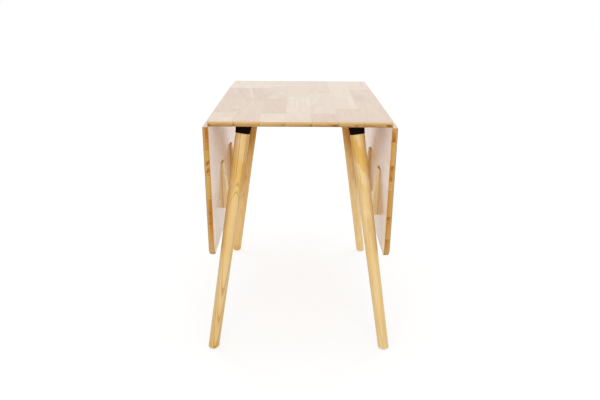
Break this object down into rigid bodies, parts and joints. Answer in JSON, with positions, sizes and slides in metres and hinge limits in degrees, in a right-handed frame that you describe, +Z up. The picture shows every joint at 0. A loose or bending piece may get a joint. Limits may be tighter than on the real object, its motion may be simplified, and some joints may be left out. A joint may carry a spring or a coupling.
{
  "type": "drop-leaf dining table",
  "caption": "Wooden drop-leaf table with splayed round legs in black sockets, hinged leaves hanging down, and pull-out bars under the top that carry the raised leaves.",
  "frame": {"origin": "on the floor, under the middle of the tabletop", "axes": "+X across the table from the left leaf to the right leaf, +Y along the hinge lines towards the rear, +Z up"},
  "size_m": [0.5868, 0.8128, 0.75],
  "materials": {
    "table_wood": "satin lacquer",
    "leg_wood": "satin lacquer",
    "runner_wood": "sanded, waxed",
    "guide_wood": "bare plywood",
    "black_casting": "black powder coat",
    "black_screw": "black zinc",
    "zinc_steel": "zinc plated",
    "foot_pad": "matte"
  },
  "bodies": {
    "frame": {"foot_pad_front_left": "foot_pad", "foot_pad_front_right": "foot_pad", "foot_pad_rear_left": "foot_pad", "foot_pad_rear_right": "foot_pad", "guide_board_front": "guide_wood", "guide_board_rear": "guide_wood", "guide_rail_front_inner": "runner_wood", "guide_rail_front_middle": "runner_wood", "guide_rail_front_outer": "runner_wood", "guide_rail_rear_inner": "runner_wood", "guide_rail_rear_middle": "runner_wood", "guide_rail_rear_outer": "runner_wood", "guide_rail_screws": "zinc_steel", "hinge_pins": "zinc_steel", "hinge_top_plate_front_left": "zinc_steel", "hinge_top_plate_front_right": "zinc_steel", "hinge_top_plate_rear_left": "zinc_steel", "hinge_top_plate_rear_right": "zinc_steel", "hinge_top_screws": "zinc_steel", "keeper_strap_front_left": "zinc_steel", "keeper_strap_front_right": "zinc_steel", "keeper_strap_rear_left": "zinc_steel", "keeper_strap_rear_right": "zinc_steel", "keeper_strap_screws": "zinc_steel", "leg_bolts": "zinc_steel", "leg_front_left": "leg_wood", "leg_front_right": "leg_wood", "leg_rear_left": "leg_wood", "leg_rear_right": "leg_wood", "leg_socket_front_left": "black_casting", "leg_socket_front_right": "black_casting", "leg_socket_rear_left": "black_casting", "leg_socket_rear_right": "black_casting", "socket_screws": "black_screw", "top_board": "table_wood"},
    "leaf_left": {"hinge_leaf_plate_front_left": "zinc_steel", "hinge_leaf_plate_rear_left": "zinc_steel", "hinge_leaf_screws_left": "zinc_steel", "leaf_left": "table_wood", "wedge_block_front_left": "table_wood", "wedge_block_rear_left": "table_wood", "wedge_screws_left": "zinc_steel"},
    "leaf_right": {"hinge_leaf_plate_front_right": "zinc_steel", "hinge_leaf_plate_rear_right": "zinc_steel", "hinge_leaf_screws_right": "zinc_steel", "leaf_right": "table_wood", "wedge_block_front_right": "table_wood", "wedge_block_rear_right": "table_wood", "wedge_screws_right": "zinc_steel"},
    "support_bar_front_left": {"bar_peg_front_left": "runner_wood", "support_bar_front_left": "runner_wood"},
    "support_bar_front_right": {"bar_peg_front_right": "runner_wood", "support_bar_front_right": "runner_wood"},
    "support_bar_rear_left": {"bar_peg_rear_left": "runner_wood", "support_bar_rear_left": "runner_wood"},
    "support_bar_rear_right": {"bar_peg_rear_right": "runner_wood", "support_bar_rear_right": "runner_wood"}
  },
  "joints": [
    {"name": "leaf_left_hinge", "type": "hinge", "parent": "frame", "child": "leaf_left", "pos_m": [-0.265, 0, 0.734], "axis": [0, 1, 0], "range_deg": [0, 90.5]},
    {"name": "leaf_right_hinge", "type": "hinge", "parent": "frame", "child": "leaf_right", "pos_m": [0.265, 0, 0.734], "axis": [0, -1, 0], "range_deg": [0, 90.5]},
    {"name": "support_bar_front_left_slide", "type": "slide", "parent": "frame", "child": "support_bar_front_left", "axis": [-1, 0, 0], "range_m": [0, 0.13]},
    {"name": "support_bar_front_right_slide", "type": "slide", "parent": "frame", "child": "support_bar_front_right", "axis": [1, 0, 0], "range_m": [0, 0.13]},
    {"name": "support_bar_rear_left_slide", "type": "slide", "parent": "frame", "child": "support_bar_rear_left", "axis": [-1, 0, 0], "range_m": [0, 0.13]},
    {"name": "support_bar_rear_right_slide", "type": "slide", "parent": "frame", "child": "support_bar_rear_right", "axis": [1, 0, 0], "range_m": [0, 0.13]}
  ]
}
